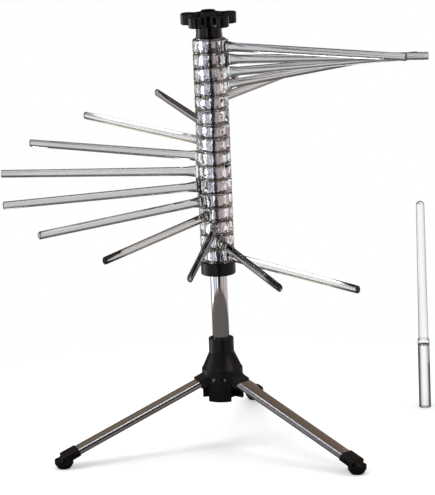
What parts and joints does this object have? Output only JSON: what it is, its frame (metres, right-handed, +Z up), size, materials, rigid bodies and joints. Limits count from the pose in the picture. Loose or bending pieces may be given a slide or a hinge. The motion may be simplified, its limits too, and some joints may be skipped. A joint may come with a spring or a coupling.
{
  "type": "pasta drying rack",
  "caption": "Table rack for drying fresh pasta: clear arms fan out in a spiral round a chromed post, clamped by a star knob, on folding legs, with a clear pick-up wand beside it.",
  "frame": {"origin": "on the post's axis at the level of the table", "axes": "+Z up along the post; +X along the second arm from the top; each lower arm stands one step further counter-clockwise seen from above"},
  "size_m": [0.46, 0.46, 0.4733],
  "materials": {
    "clear_arm": "clear, polished",
    "clear_wand": "clear, polished",
    "chromed_post": "bright plated",
    "chromed_leg": "bright plated",
    "bright_steel": "turned, bright",
    "black_knob": "moulded gloss",
    "knob_cap": "moulded gloss",
    "black_moulding": "moulded, half gloss",
    "black_foot": "moulded satin",
    "black_nylon": "moulded satin",
    "grey_rubber": "matt"
  },
  "bodies": {
    "stand": {"centre_tube": "chromed_post", "tube_insert": "bright_steel", "tube_plug": "bright_steel", "stack_collar": "black_moulding", "collar_screw": "bright_steel", "base_hub": "black_moulding", "base_screw": "bright_steel", "leg_pin_rear": "bright_steel", "leg_pin_left": "bright_steel", "leg_pin_right": "bright_steel", "arm_16": "clear_arm"},
    "fan_arm_01": {"arm_01": "clear_arm"},
    "fan_arm_02": {"arm_02": "clear_arm"},
    "fan_arm_03": {"arm_03": "clear_arm"},
    "fan_arm_04": {"arm_04": "clear_arm"},
    "fan_arm_05": {"arm_05": "clear_arm"},
    "fan_arm_06": {"arm_06": "clear_arm"},
    "fan_arm_07": {"arm_07": "clear_arm"},
    "fan_arm_08": {"arm_08": "clear_arm"},
    "fan_arm_09": {"arm_09": "clear_arm"},
    "fan_arm_10": {"arm_10": "clear_arm"},
    "fan_arm_11": {"arm_11": "clear_arm"},
    "fan_arm_12": {"arm_12": "clear_arm"},
    "fan_arm_13": {"arm_13": "clear_arm"},
    "fan_arm_14": {"arm_14": "clear_arm"},
    "fan_arm_15": {"arm_15": "clear_arm"},
    "clamp": {"clamp_washer": "bright_steel"},
    "star_knob": {"knob": "black_knob", "knob_cap": "knob_cap", "knob_stud": "bright_steel"},
    "leg_rear": {"leg_tube_rear": "chromed_leg", "leg_knuckle_rear": "black_nylon", "leg_foot_rear": "black_foot", "foot_pad_rear": "grey_rubber"},
    "leg_left": {"leg_tube_left": "chromed_leg", "leg_knuckle_left": "black_nylon", "leg_foot_left": "black_foot", "foot_pad_left": "grey_rubber"},
    "leg_right": {"leg_tube_right": "chromed_leg", "leg_knuckle_right": "black_nylon", "leg_foot_right": "black_foot", "foot_pad_right": "grey_rubber"},
    "pick_up_wand": {"wand": "clear_wand"}
  },
  "joints": [
    {"name": "arm_turn_15", "type": "hinge", "parent": "stand", "child": "fan_arm_15", "pos_m": [0, 0, 0.229], "axis": [0, 0, 1], "range_deg": [0, 22.5]},
    {"name": "arm_turn_14", "type": "hinge", "parent": "fan_arm_15", "child": "fan_arm_14", "pos_m": [0, 0, 0.244], "axis": [0, 0, 1], "range_deg": [0, 22.5]},
    {"name": "arm_turn_13", "type": "hinge", "parent": "fan_arm_14", "child": "fan_arm_13", "pos_m": [0, 0, 0.259], "axis": [0, 0, 1], "range_deg": [0, 22.5]},
    {"name": "arm_turn_12", "type": "hinge", "parent": "fan_arm_13", "child": "fan_arm_12", "pos_m": [0, 0, 0.274], "axis": [0, 0, 1], "range_deg": [0, 22.5]},
    {"name": "arm_turn_11", "type": "hinge", "parent": "fan_arm_12", "child": "fan_arm_11", "pos_m": [0, 0, 0.289], "axis": [0, 0, 1], "range_deg": [0, 22.5]},
    {"name": "arm_turn_10", "type": "hinge", "parent": "fan_arm_11", "child": "fan_arm_10", "pos_m": [0, 0, 0.304], "axis": [0, 0, 1], "range_deg": [0, 22.5]},
    {"name": "arm_turn_09", "type": "hinge", "parent": "fan_arm_10", "child": "fan_arm_09", "pos_m": [0, 0, 0.319], "axis": [0, 0, 1], "range_deg": [0, 22.5]},
    {"name": "arm_turn_08", "type": "hinge", "parent": "fan_arm_09", "child": "fan_arm_08", "pos_m": [0, 0, 0.334], "axis": [0, 0, 1], "range_deg": [0, 22.5]},
    {"name": "arm_turn_07", "type": "hinge", "parent": "fan_arm_08", "child": "fan_arm_07", "pos_m": [0, 0, 0.349], "axis": [0, 0, 1], "range_deg": [0, 22.5]},
    {"name": "arm_turn_06", "type": "hinge", "parent": "fan_arm_07", "child": "fan_arm_06", "pos_m": [0, 0, 0.364], "axis": [0, 0, 1], "range_deg": [0, 22.5]},
    {"name": "arm_turn_05", "type": "hinge", "parent": "fan_arm_06", "child": "fan_arm_05", "pos_m": [0, 0, 0.379], "axis": [0, 0, 1], "range_deg": [0, 22.5]},
    {"name": "arm_turn_04", "type": "hinge", "parent": "fan_arm_05", "child": "fan_arm_04", "pos_m": [0, 0, 0.394], "axis": [0, 0, 1], "range_deg": [0, 22.5]},
    {"name": "arm_turn_03", "type": "hinge", "parent": "fan_arm_04", "child": "fan_arm_03", "pos_m": [0, 0, 0.409], "axis": [0, 0, 1], "range_deg": [0, 22.5]},
    {"name": "arm_turn_02", "type": "hinge", "parent": "fan_arm_03", "child": "fan_arm_02", "pos_m": [0, 0, 0.424], "axis": [0, 0, 1], "range_deg": [0, 22.5]},
    {"name": "arm_turn_01", "type": "hinge", "parent": "fan_arm_02", "child": "fan_arm_01", "pos_m": [0, 0, 0.439], "axis": [0, 0, 1], "range_deg": [0, 22.5]},
    {"name": "knob_rise", "type": "slide", "parent": "stand", "child": "clamp", "axis": [0, 0, 1], "range_m": [0, 0.00251]},
    {"name": "knob_turn", "type": "hinge", "parent": "clamp", "child": "star_knob", "pos_m": [0, 0, 0.4605], "axis": [0, 0, 1], "range_deg": [0, 720]},
    {"name": "leg_fold_rear", "type": "hinge", "parent": "stand", "child": "leg_rear", "pos_m": [0.00105, 0.01496, 0.079], "axis": [-0.9976, 0.0698, 0], "range_deg": [0, 65]},
    {"name": "leg_fold_left", "type": "hinge", "parent": "stand", "child": "leg_left", "pos_m": [-0.01348, -0.00658, 0.079], "axis": [0.4384, -0.8988, 0], "range_deg": [0, 65]},
    {"name": "leg_fold_right", "type": "hinge", "parent": "stand", "child": "leg_right", "pos_m": [0.01244, -0.00839, 0.079], "axis": [0.5592, 0.829, 0], "range_deg": [0, 65]},
    {"name": "wand_lift", "type": "slide", "parent": "stand", "child": "pick_up_wand", "axis": [0, 0, 1], "range_m": [0, 0.25]}
  ],
  "couplings": [
    {"joint": "knob_rise", "follows": "knob_turn", "m_per_rad": 0.00019894}
  ]
}
